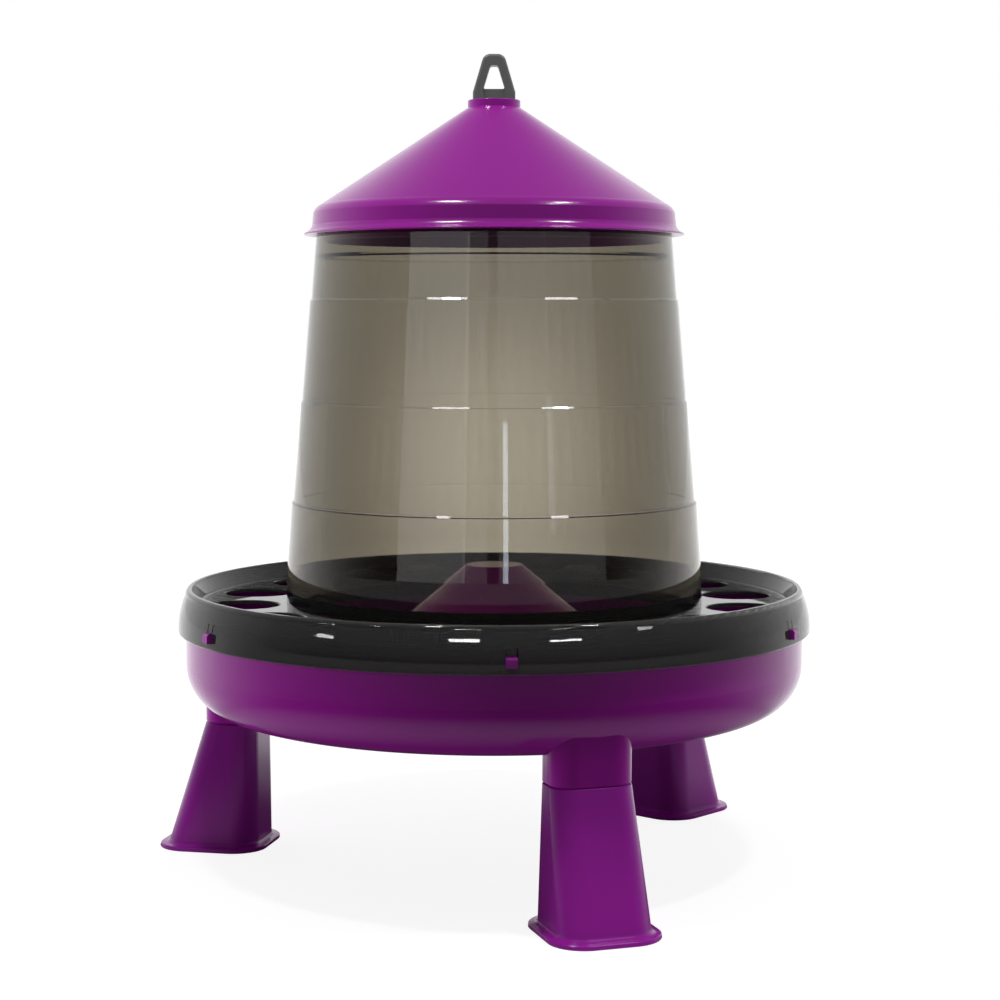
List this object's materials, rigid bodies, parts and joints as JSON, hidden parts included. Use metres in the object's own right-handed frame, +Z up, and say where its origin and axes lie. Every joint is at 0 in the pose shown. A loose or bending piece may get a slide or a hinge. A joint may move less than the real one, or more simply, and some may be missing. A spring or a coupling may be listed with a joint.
{
  "type": "gravity poultry feeder",
  "caption": "Hanging or standing gravity feeder for poultry: smoked hopper under a conical lid feeds a round pan with a perforated ring, on push-on legs.",
  "frame": {"origin": "on the feeder's vertical axis, in the plane of the three feet", "axes": "+Z up along the feeder's axis; the front leg points along -Y; +X to the right seen from the front"},
  "size_m": [0.3594, 0.3772, 0.456],
  "materials": {
    "purple_pan": "glossy injection-moulded polypropylene, deep purple",
    "purple_leg": "satin injection-moulded polypropylene, deep purple",
    "purple_lid": "satin injection-moulded polypropylene, purple",
    "smoked_hopper": "clear smoked polypropylene, polished",
    "smoked_ring": "dark smoked polypropylene, polished",
    "grey_hanger": "fine-textured dark grey plastic"
  },
  "bodies": {
    "base": {"pan": "purple_pan", "feed_ring": "smoked_ring"},
    "hopper_body": {"hopper": "smoked_hopper"},
    "lid_body": {"lid": "purple_lid"},
    "hanger_body": {"hanger": "grey_hanger"},
    "leg_front_body": {"leg_front": "purple_leg"},
    "leg_rear_right_body": {"leg_rear_right": "purple_leg"},
    "leg_rear_left_body": {"leg_rear_left": "purple_leg"}
  },
  "joints": [
    {"name": "hopper_lift", "type": "slide", "parent": "base", "child": "hopper_body", "axis": [0, 0, 1], "range_m": [0, 0.08]},
    {"name": "lid_lift", "type": "slide", "parent": "hopper_body", "child": "lid_body", "axis": [0, 0, 1], "range_m": [0, 0.06]},
    {"name": "hanger_swivel", "type": "hinge", "parent": "lid_body", "child": "hanger_body", "pos_m": [0, 0, 0.43], "axis": [0, 0, 1], "continuous": true},
    {"name": "leg_front_pull", "type": "slide", "parent": "base", "child": "leg_front_body", "axis": [0, 0, -1], "range_m": [0, 0.04]},
    {"name": "leg_rear_right_pull", "type": "slide", "parent": "base", "child": "leg_rear_right_body", "axis": [0, 0, -1], "range_m": [0, 0.04]},
    {"name": "leg_rear_left_pull", "type": "slide", "parent": "base", "child": "leg_rear_left_body", "axis": [0, 0, -1], "range_m": [0, 0.04]}
  ]
}
